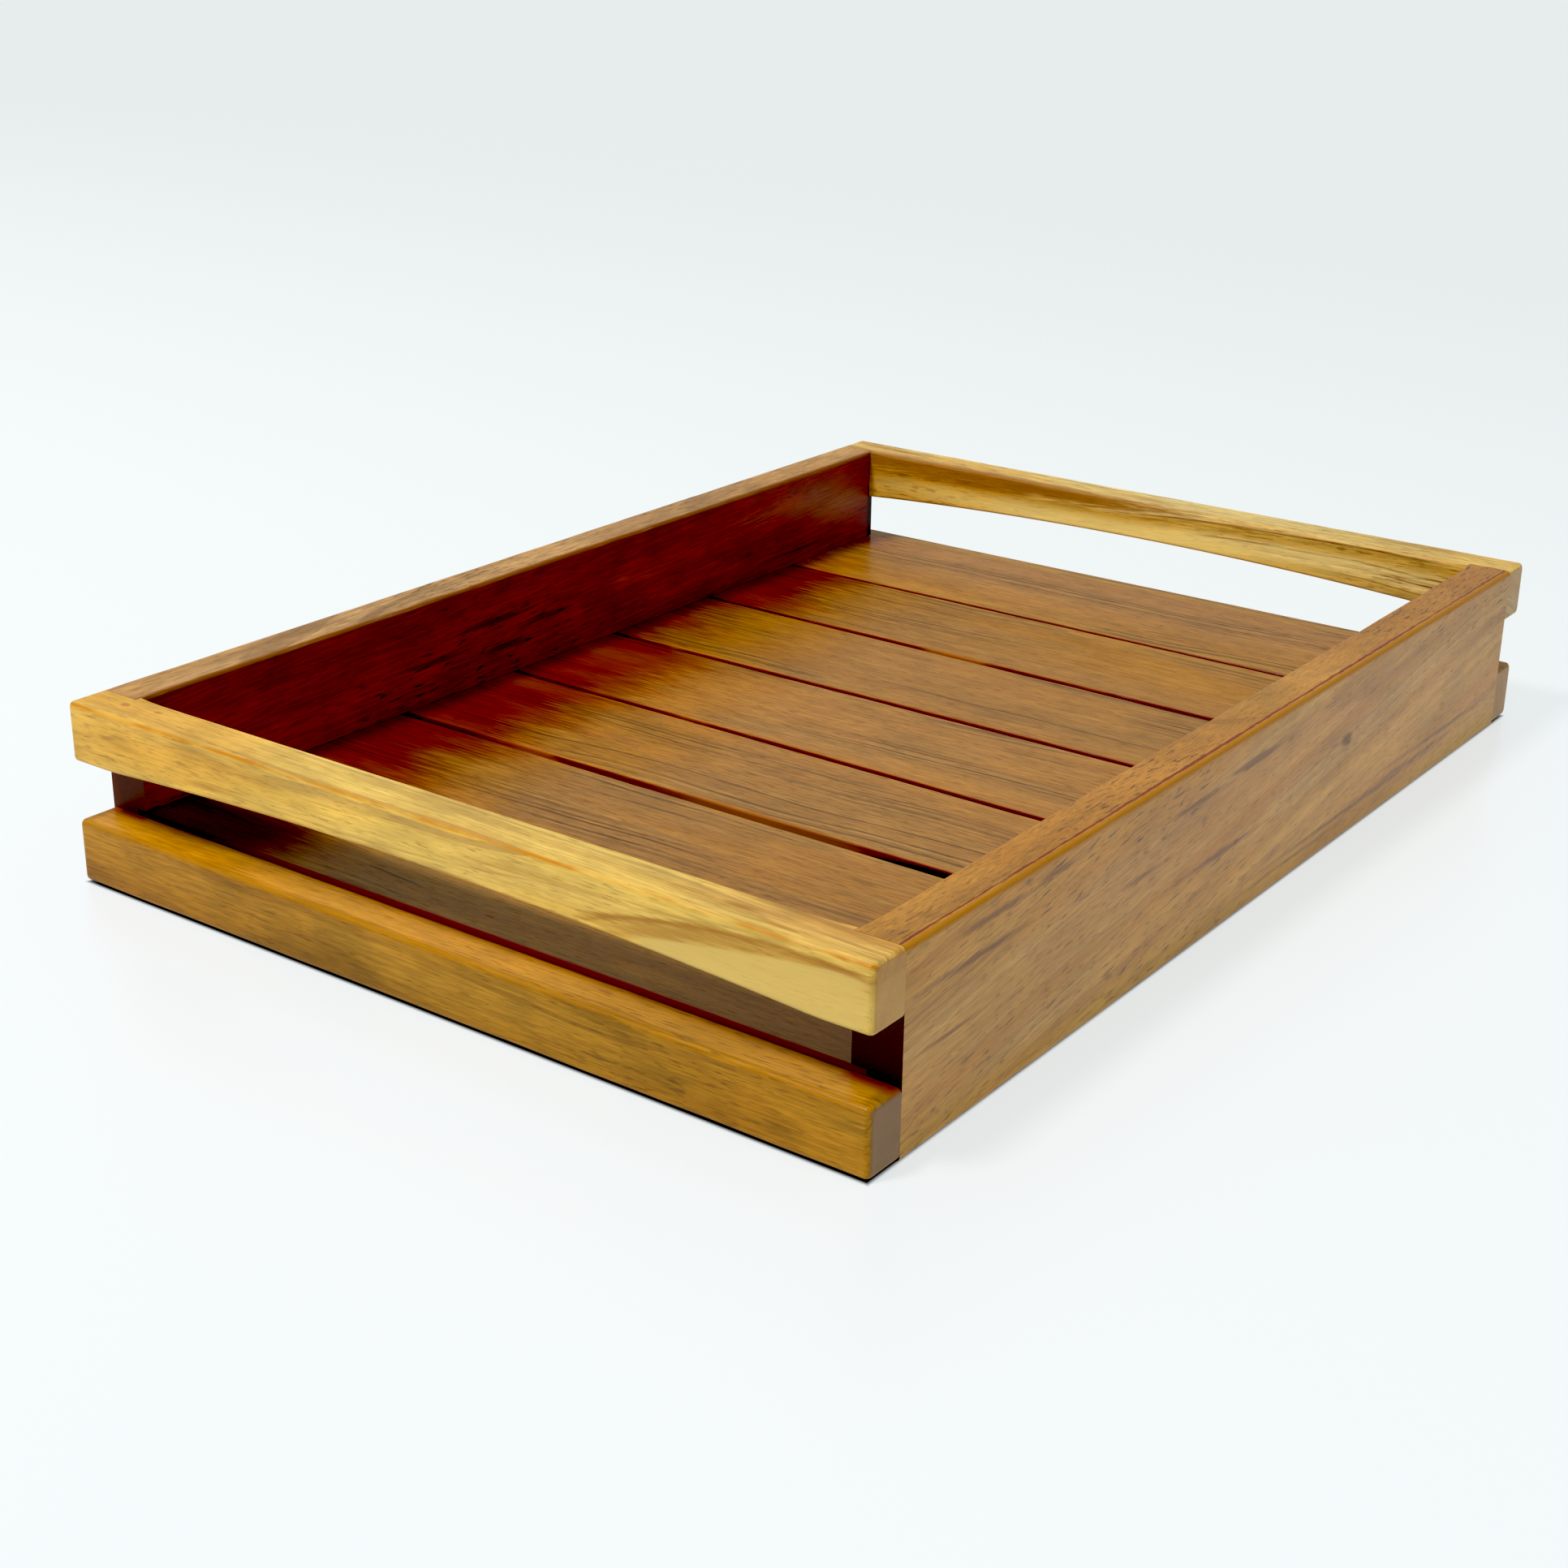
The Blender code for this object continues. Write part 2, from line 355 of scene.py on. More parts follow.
def slat_edges(number):
    """Functions that give a slat's near and far edge at a share of its length from the left."""
    low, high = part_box(f"floor_slat_{number}")
    half_cad_gap = (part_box("floor_slat_2")[0][1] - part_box("floor_slat_1")[1][1]) / 2

    def edge(gap, base, outermost, sign):
        if gap not in GAPS:
            return lambda share: outermost
        left, right, left_width, right_width = (value * MM for value in GAPS[gap])

        def place(share):
            width = left_width + (right_width - left_width) * share ** GAP_FLARE
            return base + left + (right - left) * share + sign * width / 2

        return place

    near = edge(number - 1, low[1] - half_cad_gap, low[1], 1)
    far = edge(number, high[1] + half_cad_gap, high[1], -1)
    return near, far


def floor_slat(number):
    """Floor slat with slightly uneven edges, as sawn by hand."""
    node = f"floor_slat_{number}"
    low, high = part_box(node)
    near, far = slat_edges(number)
    near_arris = SLAT_ARRIS_RADIUS if number - 1 in GAPS else SLAT_END_RADIUS
    far_arris = SLAT_ARRIS_RADIUS if number in GAPS else SLAT_END_RADIUS

    def section(x):
        share = (x - low[0]) / (high[0] - low[0])
        rough = SAW_DEPTH * noise.noise(Vector((x * SAW_WAVE, number * SAW_SEED_STEP, 0.0)))
        near_y, far_y = near(share), far(share)
        if number - 1 in GAPS:
            near_y += rough
        if number in GAPS:
            far_y += rough
        corners = [
            (near_y, low[2], worn(near_arris, x, number)),
            (far_y, low[2], worn(far_arris, x, number + FAR_EDGE_SEED)),
            (far_y, high[2], worn(far_arris, x, number + FAR_EDGE_SEED)),
            (near_y, high[2], worn(near_arris, x, number)),
        ]
        return [Vector((x, point.x, point.y)) for point in rounded_outline(corners)]

    rings = [section(x) for x in steps_between(low[0], high[0], SLAT_RING_SPACING)]
    far_share = SLAT_FAR_ARRIS if number in GAPS else 0.0
    near_share = SLAT_NEAR_ARRIS if number - 1 in GAPS else 0.0
    return loft(f"{node}_wood", rings, arris_share((0.0, 0.0, far_share, near_share)))


# ---------------------------------------------------------------- wood


class Graph:
    """Short calls for building a material's node tree."""

    def __init__(self, name):
        self.material = bpy.data.materials.new(name)
        self.material.use_nodes = True
        self.nodes = self.material.node_tree.nodes
        self.links = self.material.node_tree.links
        self.shader = self.nodes["Principled BSDF"]

    def feed(self, socket, value):
        """Set a socket to a value, or link an output to it."""
        if isinstance(value, bpy.types.NodeSocket):
            self.links.new(value, socket)
        else:
            socket.default_value = value

    def add(self, kind, values, **settings):
        """Add a node with its settings and its inputs by index or name."""
        node = self.nodes.new(kind)
        for name, value in settings.items():
            setattr(node, name, value)
        for key, value in values.items():
            self.feed(node.inputs[key], value)
        return node

    def math(self, operation, first, second=0.0):
        """Arithmetic on two numbers."""
        return self.add("ShaderNodeMath", {0: first, 1: second}, operation=operation).outputs[0]

    def vector_math(self, operation, first, second=(0.0, 0.0, 0.0), output="Vector"):
        """Arithmetic on two vectors."""
        node = self.add("ShaderNodeVectorMath", {0: first, 1: second}, operation=operation)
        return node.outputs[output]

    def mix(self, share, first, second, blend="MIX"):
        """The first colour with the second laid over it by a share."""
        values = {0: share, 6: first, 7: second}
        node = self.add("ShaderNodeMix", values, data_type="RGBA", blend_type=blend)
        return node.outputs[2]

    def span(self, value, low, high, start=0.0, end=1.0):
        """Rescale a value from low..high to start..end, smoothly and within those limits."""
        values = {0: value, 1: low, 2: high, 3: start, 4: end}
        return self.add("ShaderNodeMapRange", values, interpolation_type="SMOOTHSTEP").outputs[0]

    def noise(self, vector, stretch, detail=2.0, output=0):
        """Noise whose scale differs along and across the grain, in cells per metre."""
        scaled = self.vector_math("MULTIPLY", vector, stretch)
        values = {"Vector": scaled, "Scale": 1.0, "Detail": detail}
        return self.add("ShaderNodeTexNoise", values).outputs[output]

    def line_noise(self, position, detail=2.0):
        """Noise along a line."""
        values = {"W": position, "Scale": 1.0, "Detail": detail}
        return self.add("ShaderNodeTexNoise", values, noise_dimensions="1D").outputs[0]

    def attribute(self, name):
        """A number that the mesh holds for each point."""
        return self.add("ShaderNodeAttribute", {}, attribute_name=name).outputs["Fac"]


# Feature sizes of the wood, in cells per metre along and across the grain, and how far its rings
# wander
WOBBLE_CELLS = (7.0, 15.0, 15.0)
WOBBLE_REACH = (0.0, 0.012, 0.012)
FIBRE_CELLS = (75.0, 1400.0, 1400.0)
PORE_CELLS = (160.0, 2400.0, 2400.0)
FLECK_CELLS = (120.0, 900.0, 900.0)
STREAK_CELLS = (10.0, 110.0, 110.0)
BLOTCH_CELLS = (7.0, 26.0, 26.0)
PATCH_CELLS = (9.0, 50.0, 50.0)
MOTTLE_CELLS = (48.0, 60.0, 60.0)
ARRIS_CELLS = (38.0, 38.0, 38.0)
GAP_RUN_CELLS = (17.0, 17.0, 60.0)

# Broad bands and fine hairs in the rings, as shares of the rings' own number per metre
BAND_SHARE = 0.4
HAIR_SHARE = 2.7

# Noise values between which each feature fades in, some with the shares from which and to which
BAND_RANGE = (0.30, 0.70)
BLOTCH_RANGE = (0.35, 0.70)
STREAK_RANGE = (0.50, 0.72)
LINE_RANGE = (0.60, 0.66)
FLECK_RANGE = (0.58, 0.68)
PORE_RANGE = (0.60, 0.72)
ARRIS_RANGE = (0.36, 0.56)
GAP_RUN_RANGE = (0.54, 0.64)
TINT_RANGE = (0.35, 0.65)
LINE_PATCHES = (0.46, 0.62, 0.05, 1.0)
LINE_BREAKS = (0.30, 0.55, 0.30, 1.0)
FLECK_PATCHES = (0.40, 0.60, 0.15, 1.0)
TINT_PATCHES = (0.30, 0.55, 0.80, 1.0)
FIBRE_RANGE = (0.25, 0.75)
MOTTLE_RANGE = (0.3, 0.7)

# Strengths of the features that are the same on every piece
BLOTCH_STRENGTH = 0.55
STREAK_TONE = 0.45
LINE_STRENGTH = 0.6
PORE_STRENGTH = 0.45
ARRIS_FLOOR = 0.25
GAP_RUN_STRENGTH = 0.8
WARM_TINT = (1.06, 1.0, 0.85, 1.0)
COOL_TINT = (0.95, 0.99, 1.18, 1.0)

# Facings between which side and end tones fade in
SIDE_FACING = (0.45, 0.85)
END_FACING = (0.80, 0.97)

# Ragged edges of marks: shares of fibre and patch, and the reach of one unit of roughness
RAGGED_FIBRE = 0.45
RAGGED_PATCH = 0.55
RAGGED_REACH = 4.0 * MM
BOW_END_SOFTNESS = 0.15

# Lacquer: how roughness rises with fibre, patch and pore, and the relief of the fibres
FIBRE_ROUGHNESS = (-0.05, 0.09)
FIBRE_ROUGHNESS_RANGE = (0.2, 0.8)
PATCH_ROUGHNESS = (0.3, 0.7, -0.04, 0.06)
PORE_ROUGHNESS = 0.2
RELIEF_STRENGTH = 0.4
RELIEF_DEPTH = 0.1 * MM
FIBRE_RELIEF = 0.5

SEED_SHIFT = (0.73, 0.11, 0.17)
GRAIN_TURN = {"X": 0.0, "Y": -90.0}
GRAIN_AXIS = {"X": (1.0, 0.0, 0.0), "Y": (0.0, 1.0, 0.0)}

# What a wood has unless its piece says otherwise: strengths from 0 to 1, rings per metre, the
# pith's place across the grain, and tones with their strengths
PLAIN_WOOD = {
    "grain": "X",
    "tilt": (0.0, 0.0, 0.0),
    "pith": (0.02, -0.06),
    "rings": 300.0,
    "lines": 0.6,
    "streaks": 0.4,
    "flecks": 0.3,
    "fibre": 0.22,
    "mottle": 0.06,
    "gloss": 0.30,
    "shine": 0.25,
    "arris": ((0.50, 0.18, 0.01), 0.8),
    "end": ((0.36, 0.21, 0.09), 0.7),
    "sides": 0.0,
    "marks": (),
}


class Mark(NamedTuple):
    """A stain, patch, streak or painted light or shade on a piece, in millimetres of the tray's own
    coordinates.
    """

    shape: str
    sizes: tuple
    soft: float
    rough: float
    tone: tuple
    strength: float
    blend: str = "MIX"


def tint(*mark):
    """A mark whose tone is multiplied into the wood's."""
    return Mark(*mark, blend="MULTIPLY")


class Wood(Graph):
    """Lacquered wood whose rings, streaks, fibres and pores run through the whole piece."""

    def __init__(self, name, seed, **look):
        super().__init__(name)
        self.seed = seed
        self.look = {**PLAIN_WOOD, **look}
        coordinates = self.add("ShaderNodeTexCoord", {})
        self.place = coordinates.outputs["Object"]
        self.facing = coordinates.outputs["Normal"]
        self.space = self.grain_space()
        self.fibre = self.noise(self.space, FIBRE_CELLS, detail=3.0)
        self.pore = self.span(self.noise(self.space, PORE_CELLS, detail=1.0), *PORE_RANGE)
        self.patch = self.noise(self.space, PATCH_CELLS, detail=2.0)
        self.finish(self.colour())

    def grain_space(self):
        """Object coordinates turned so that X runs along the grain, shifted by the piece's seed."""
        turn = (0.0, 0.0, math.radians(GRAIN_TURN[self.look["grain"]]))
        along = self.add("ShaderNodeMapping", {0: self.place, 2: turn}).outputs[0]
        tilt = tuple(math.radians(angle) for angle in self.look["tilt"])
        shift = tuple(self.seed * step for step in SEED_SHIFT)
        return self.add("ShaderNodeMapping", {0: along, 1: shift, 2: tilt}).outputs[0]

    def ring_distance(self):
        """Wobbling distance to the log's centre line."""
        wobble = self.noise(self.space, WOBBLE_CELLS, detail=2.0, output=1)
        wobble = self.vector_math("SUBTRACT", wobble, (0.5, 0.5, 0.5))
        wobble = self.vector_math("MULTIPLY", wobble, WOBBLE_REACH)
        pith = self.look["pith"]
        shift = tuple(self.seed * step for step in SEED_SHIFT)
        centre = (0.0, -pith[0] - shift[1], -pith[1] - shift[2])
        moved = self.vector_math("ADD", self.vector_math("ADD", self.space, centre), wobble)
        across = self.vector_math("MULTIPLY", moved, (0.0, 1.0, 1.0))
        return self.vector_math("LENGTH", across, output="Value")

    def scale(self, colour, factor):
        """A colour made lighter or darker."""
        node = self.add("ShaderNodeVectorMath", {0: colour, "Scale": factor}, operation="SCALE")
        return node.outputs[0]

    def colour(self):
        """Colour of the wood: its figure first, then its lacquer, marks and end grain."""
        look = self.look
        light, middle, dark = ((*look[tone], 1.0) for tone in ("light", "middle", "dark"))
        distance = self.ring_distance()
        band = self.line_noise(self.math("MULTIPLY", distance, look["rings"] * BAND_SHARE))
        line = self.line_noise(self.math("MULTIPLY", distance, look["rings"]))
        hair = self.math("MULTIPLY", distance, look["rings"] * HAIR_SHARE)
        hair = self.line_noise(hair, detail=1.0)
        blotch = self.noise(self.space, BLOTCH_CELLS)
        streak = self.span(self.noise(self.space, STREAK_CELLS, detail=3.0), *STREAK_RANGE)
        fleck = self.span(self.noise(self.space, FLECK_CELLS), *FLECK_RANGE)

        colour = self.mix(self.span(band, *BAND_RANGE), middle, light)
        colour = self.mix(self.span(blotch, *BLOTCH_RANGE, 0.0, BLOTCH_STRENGTH), colour, middle)
        colour = self.overlay(colour, streak, look["streaks"], self.blend_tone(STREAK_TONE))
        warmth = self.mix(self.span(self.patch, *TINT_RANGE), WARM_TINT, COOL_TINT)
        colour = self.mix(1.0, colour, warmth, blend="MULTIPLY")

        # Lines and hairs show only in patches, and the fibres break them up
        broken = self.span(self.fibre, *LINE_BREAKS)
        shown = self.math("MULTIPLY", self.span(self.patch, *LINE_PATCHES), broken)
        line = self.math("MULTIPLY", self.span(line, *LINE_RANGE), shown)
        colour = self.overlay(colour, line, look["lines"] * LINE_STRENGTH, dark)
        hair = self.math("MULTIPLY", self.span(hair, *LINE_RANGE), shown)
        colour = self.overlay(colour, hair, look["lines"], dark)
        fleck = self.math("MULTIPLY", fleck, self.span(blotch, *FLECK_PATCHES))
        colour = self.overlay(colour, fleck, look["flecks"], dark)

        fibre, mottle = look["fibre"], look["mottle"]
        colour = self.scale(colour, self.span(self.fibre, *FIBRE_RANGE, 1 - fibre, 1 + fibre))
        cloud = self.noise(self.space, MOTTLE_CELLS)
        colour = self.scale(colour, self.span(cloud, *MOTTLE_RANGE, 1 - mottle, 1 + mottle))
        colour = self.overlay(colour, self.pore, PORE_STRENGTH, dark)
        return self.end_tones(self.mark(self.side_tones(self.arris_tones(colour))))

    def overlay(self, colour, share, strength, tone):
        """A colour with a tone laid over it by a share times a strength."""
        return self.mix(self.math("MULTIPLY", share, strength), colour, tone)

    def blend_tone(self, share):
        """A tone between the wood's middle and dark colours."""
        pair = zip(self.look["middle"], self.look["dark"])
        return (*(first + (second - first) * share for first, second in pair), 1.0)

    def arris_tones(self, colour):
        """Amber lacquer along the arrises, also a painted highlight on the slats' gap edges."""
        tone, strength = self.look["arris"]
        uneven = self.noise(self.place, ARRIS_CELLS, detail=3.0)
        uneven = self.span(uneven, *ARRIS_RANGE, ARRIS_FLOOR, strength)
        return self.overlay(colour, self.attribute("arris"), uneven, (*tone, 1.0))

    def side_tones(self, colour):
        """Red and amber lacquer run into the gaps between slats, the red also painted shade."""
        if not self.look["sides"]:
            return colour
        run = self.noise(self.place, GAP_RUN_CELLS, detail=4.0)
        run = self.span(run, *GAP_RUN_RANGE, 0.0, GAP_RUN_STRENGTH)
        tone = self.mix(run, (*GAP_RED, 1.0), (*GAP_AMBER, 1.0))
        return self.mix(self.facing_share("Y", SIDE_FACING, self.look["sides"]), colour, tone)

    def end_tones(self, colour):
        """Duller end grain."""
        tone, strength = self.look["end"]
        share = self.facing_share(self.look["grain"], END_FACING, strength)
        return self.mix(share, colour, (*tone, 1.0))

    def facing_share(self, axis, limits, strength):
        """A strength on faces that look along an axis, either way, and 0 on the others."""
        facing = self.vector_math("DOT_PRODUCT", self.facing, GRAIN_AXIS[axis], output="Value")
        return self.span(self.math("ABSOLUTE", facing), *limits, 0.0, strength)

    def mark(self, colour):
        """Stains, patches, spots and painted light and shade at their own places."""
        ragged = self.math("MULTIPLY", self.fibre, RAGGED_FIBRE)
        ragged = self.math("ADD", ragged, self.math("MULTIPLY", self.patch, RAGGED_PATCH))
        ragged = self.math("SUBTRACT", ragged, 0.5)
        outside = {"box": self.box, "oval": self.oval, "bow": self.bow}
        for mark in self.look["marks"]:
            edge = outside[mark.shape](*mark.sizes)
            edge = self.math("ADD", edge, self.math("MULTIPLY", ragged, mark.rough * RAGGED_REACH))
            share = self.span(edge, -mark.soft * MM, mark.soft * MM, mark.strength, 0.0)
            if mark.blend == "MULTIPLY":
                share = self.math("MULTIPLY", share, self.span(self.patch, *TINT_PATCHES))
            colour = self.mix(share, colour, (*mark.tone, 1.0), mark.blend)
        return colour

    def box(self, centre, half):
        """Distance outside a box."""
        offset = self.vector_math("SUBTRACT", self.place, millimetres(centre))
        past = self.vector_math("ABSOLUTE", offset)
        past = self.vector_math("SUBTRACT", past, millimetres(half))
        x, y, z = self.add("ShaderNodeSeparateXYZ", {0: past}).outputs
        return self.math("MAXIMUM", x, self.math("MAXIMUM", y, z))

    def oval(self, centre, half):
        """Distance outside a rounded spot."""
        offset = self.vector_math("SUBTRACT", self.place, millimetres(centre))
        scaled = self.vector_math("DIVIDE", offset, millimetres(half))
        length = self.vector_math("LENGTH", scaled, output="Value")
        return self.math("MULTIPLY", self.math("SUBTRACT", length, 1.0), min(half) * MM)

    def bow(self, start, stop, height, slope, bend, half):
        """Distance outside a curved streak along X at a height that rises by slope and bend."""
        x, _, z = self.add("ShaderNodeSeparateXYZ", {0: self.place}).outputs
        run = self.math("SUBTRACT", x, start * MM)
        steepness = self.math("ADD", self.math("MULTIPLY", run, bend / MM), slope)
        rise = self.math("MULTIPLY", run, steepness)
        off = self.math("SUBTRACT", z, self.math("ADD", rise, height * MM))
        off = self.math("SUBTRACT", self.math("ABSOLUTE", off), half * MM)
        middle, reach = (start + stop) / 2 * MM, (stop - start) / 2 * MM
        past = self.math("ABSOLUTE", self.math("SUBTRACT", x, middle))
        past = self.math("SUBTRACT", past, reach)
        return self.math("MAXIMUM", off, self.math("MULTIPLY", past, BOW_END_SOFTNESS))

    def finish(self, colour):
        """Colour, satin lacquer and relief on the shader."""
        inputs = self.shader.inputs
        self.feed(inputs["Base Color"], colour)
        smooth, dull = (self.look["gloss"] + step for step in FIBRE_ROUGHNESS)
        rough = self.span(self.fibre, *FIBRE_ROUGHNESS_RANGE, smooth, dull)
        rough = self.math("ADD", rough, self.span(self.patch, *PATCH_ROUGHNESS))
        rough = self.math("ADD", rough, self.math("MULTIPLY", self.pore, PORE_ROUGHNESS))
        self.feed(inputs["Roughness"], rough)
        inputs["Specular IOR Level"].default_value = self.look["shine"]
        relief = self.math("SUBTRACT", self.math("MULTIPLY", self.fibre, FIBRE_RELIEF), self.pore)
        values = {"Strength": RELIEF_STRENGTH, "Distance": RELIEF_DEPTH, "Height": relief}
        self.feed(inputs["Normal"], self.add("ShaderNodeBump", values).outputs[0])


# ---------------------------------------------------------------- tray

# Tones laid on the wood; those above 1 are multiplied in and make it lighter
# Painted shade that darkens the side boards' inner faces to dark red
PAINTED_INNER_SHADE = (0.58, 0.030, 0.016)
# Red on the slats near the left board: partly a real stain, partly painted reflection and shade
SLAT_STAIN_AND_SHADE = (0.46, 0.10, 0.03)
# Golden tone beyond that red on the slats, where its painted reflection and shade fades out
HONEY = (1.04, 0.92, 0.30)
CREAM = (0.62, 0.43, 0.12)
BROWN = (0.34, 0.15, 0.02)
SPOT = (0.40, 0.15, 0.03)
# Amber of the gap walls and slat arrises: lacquer, and painted highlight on the arrises
GAP_AMBER = (0.42, 0.13, 0.008)
# Dark red of the gap walls: lacquer, and painted shade deep in the gaps
GAP_RED = (0.14, 0.009, 0.002)
LEFT_STREAK = (0.015, 0.001, 0.001)
RIGHT_STREAK = (0.13, 0.06, 0.04)

# How far each slat's red tone and the honey tone beyond it reach from the left board, in
# millimetres; both are partly a real stain, partly painted reflection and shade of the board
SLAT_STAIN_AND_SHADE_REACH = {
    1: (60.0, 75.0), 2: (52.0, 80.0), 3: (50.0, 105.0), 4: (48.0, 88.0), 5: (22.0, 74.0),
    6: (40.0, 72.0), 7: (3.0, 24.0),
}

# Dark streaks on the side boards: place along the tray, height, half length and half height, in
# millimetres
LEFT_STREAKS = (
    (-41.0, 45.0, 15.0, 1.1), (-32.0, 34.0, 12.0, 1.2), (-12.0, 40.0, 9.0, 0.8),
    (-75.0, 38.0, 12.0, 0.7), (148.0, 29.0, 18.0, 0.9),
)
RIGHT_STREAKS = (
    (-8.0, 50.0, 15.0, 1.5), (-46.0, 48.0, 16.0, 1.0), (-78.0, 36.0, 11.0, 0.8),
    (-167.0, 45.0, 22.0, 1.0), (-158.0, 54.0, 15.0, 0.8), (-128.0, 55.0, 8.0, 1.0),
    (-182.0, 28.0, 13.0, 0.7), (60.0, 9.0, 42.0, 0.6), (26.0, 6.0, 25.0, 0.5),
    (122.0, 10.5, 22.0, 0.4), (150.0, 14.0, 30.0, 0.5), (-30.0, 26.0, 20.0, 0.6),
)

# Planes that marks are placed by, in millimetres
LEFT_INSIDE = -134.5
RIGHT_INSIDE = 134.5
RIGHT_OUTSIDE = 150.0
FRONT_JOINT = -201.0
REAR_INSIDE = 199.0
RIM = 60.5

# Slats: their tones, how these vary from slat to slat, and how each one's grain differs
SLAT_COUNT = 7
SLAT_LIGHT = (0.385, 0.188, 0.040)
SLAT_MIDDLE = (0.325, 0.146, 0.030)
SLAT_DARK = (0.05, 0.022, 0.012)
SLAT_SHADE = 0.07
SLAT_SHADE_STEP = 2.1
SLAT_TILT = 0.9
SLAT_PITH_SHIFT = 0.06
SLAT_PITH_DEPTH = -0.03
SLAT_FIRST_SEED = 10.0

FRONT_HANDLE_MARKS = (
    # Deeper tone at the left and right ends
    tint("oval", ((-120.0, -207.0, 58.0), (60.0, 12.0, 14.0)), 6.0, 2.0, (0.95, 0.84, 0.70), 0.9),
    tint("oval", ((128.0, -205.0, RIM), (48.0, 7.5, 3.0)), 2.5, 1.5, (0.80, 0.67, 0.70), 0.9),
    # Pale wedge at the lower right, with a tan band and brown lines over it
    Mark("bow", (66.0, 150.0, 47.0, 0.26, -0.0019, 2.6), 1.8, 1.6, (0.38, 0.18, 0.028), 0.7),
    Mark("bow", (76.0, 150.0, 38.0, 0.19, -0.0007, 9.0), 0.6, 1.2, CREAM, 0.85),
    Mark("bow", (60.0, 150.0, 48.3, 0.26, -0.0019, 1.1), 0.9, 1.0, BROWN, 0.9),
    Mark("bow", (15.0, 125.0, 53.0, 0.06, -0.0002, 0.7), 1.0, 0.9, BROWN, 0.4),
    # Dashes and two small spots
    Mark("oval", ((104.0, -207.0, RIM), (6.0, 0.9, 1.0)), 0.6, 0.8, BROWN, 0.8),
    Mark("oval", ((119.0, -210.5, RIM), (8.0, 0.7, 1.0)), 0.6, 0.8, BROWN, 0.8),
    Mark("oval", ((-86.0, -215.0, 48.0), (7.0, 2.0, 0.7)), 1.2, 1.0, BROWN, 0.7),
    Mark("oval", ((-133.6, -205.8, RIM), (1.8, 1.2, 1.0)), 0.4, 0.1, SPOT, 0.8),
    Mark("oval", ((-120.2, -204.4, RIM), (1.4, 0.9, 1.0)), 0.4, 0.1, SPOT, 0.7),
)
FRONT_LOWER_MARKS = (
    # Painted light that lifts the top face out of the handle rail's shadow, red lacquer along
    # the slats, and amber lacquer at both corners
    tint("box", ((0.0, -207.0, 22.0), (146.0, 6.0, 1.5)), 2.0, 1.0, (1.65, 1.65, 2.6), 1.0),
    Mark(
        "box", ((0.0, FRONT_JOINT, 21.0), (148.0, 0.6, 2.0)), 0.4, 0.35, (0.16, 0.010, 0.002), 0.9,
    ),
    Mark("box", ((142.0, FRONT_JOINT, 21.0), (8.0, 4.0, 2.0)), 2.0, 0.8, (0.36, 0.06, 0.003), 0.9),
    Mark("box", ((-142.0, FRONT_JOINT, 21.0), (9.0, 3.0, 2.0)), 2.0, 0.8, (0.30, 0.05, 0.003), 0.8),
)
REAR_HANDLE_MARKS = (
    tint(
        "box", ((LEFT_INSIDE, REAR_INSIDE, 50.0), (60.0, 3.0, 20.0)), 25.0, 8.0, (0.85, 0.66, 0.25),
        1.0,
    ),
    Mark(
        "oval", ((-70.0, REAR_INSIDE, 59.0), (95.0, 3.0, 4.0)), 2.0, 2.5, (0.26, 0.09, 0.008), 0.8,
    ),
    Mark("oval", ((-15.0, REAR_INSIDE, 48.0), (75.0, 3.0, 3.5)), 2.0, 2.5, (0.88, 0.68, 0.22), 0.7),
    Mark("oval", ((85.0, REAR_INSIDE, 52.0), (45.0, 3.0, 2.5)), 2.0, 2.5, (0.90, 0.72, 0.27), 0.6),
)


def streaks(x, table, tone, strength):
    """Marks for dark streaks on the face of a side board at x."""
    return tuple(
        Mark("oval", ((x, y, z), (3.0, length, height)), 0.7, 0.8, tone, strength)
        for y, z, length, height in table
    )


LEFT_BOARD_MARKS = (
    # Painted red shade inside, amber lacquer on its arris, and dark streaks
    tint("box", ((LEFT_INSIDE, 0.0, 38.0), (1.2, 205.0, 21.4)), 0.4, 0.12, PAINTED_INNER_SHADE, 1.0),
    Mark("box", ((-135.2, 0.0, 59.9), (0.8, 205.0, 0.8)), 0.4, 0.5, (0.24, 0.07, 0.005), 0.9),
    *streaks(LEFT_INSIDE, LEFT_STREAKS, LEFT_STREAK, 0.65),
    # Painted reflection in a tan patch near the rear, and painted shade in the black rear corner
    Mark("oval", ((LEFT_INSIDE, 178.0, 43.0), (3.0, 24.0, 7.0)), 2.5, 2.5, (0.40, 0.17, 0.04), 0.7),
    Mark(
        "box", ((LEFT_INSIDE, 199.5, 34.0), (2.0, 2.0, 12.0)), 1.0, 0.8, (0.010, 0.002, 0.001), 0.9,
    ),
)
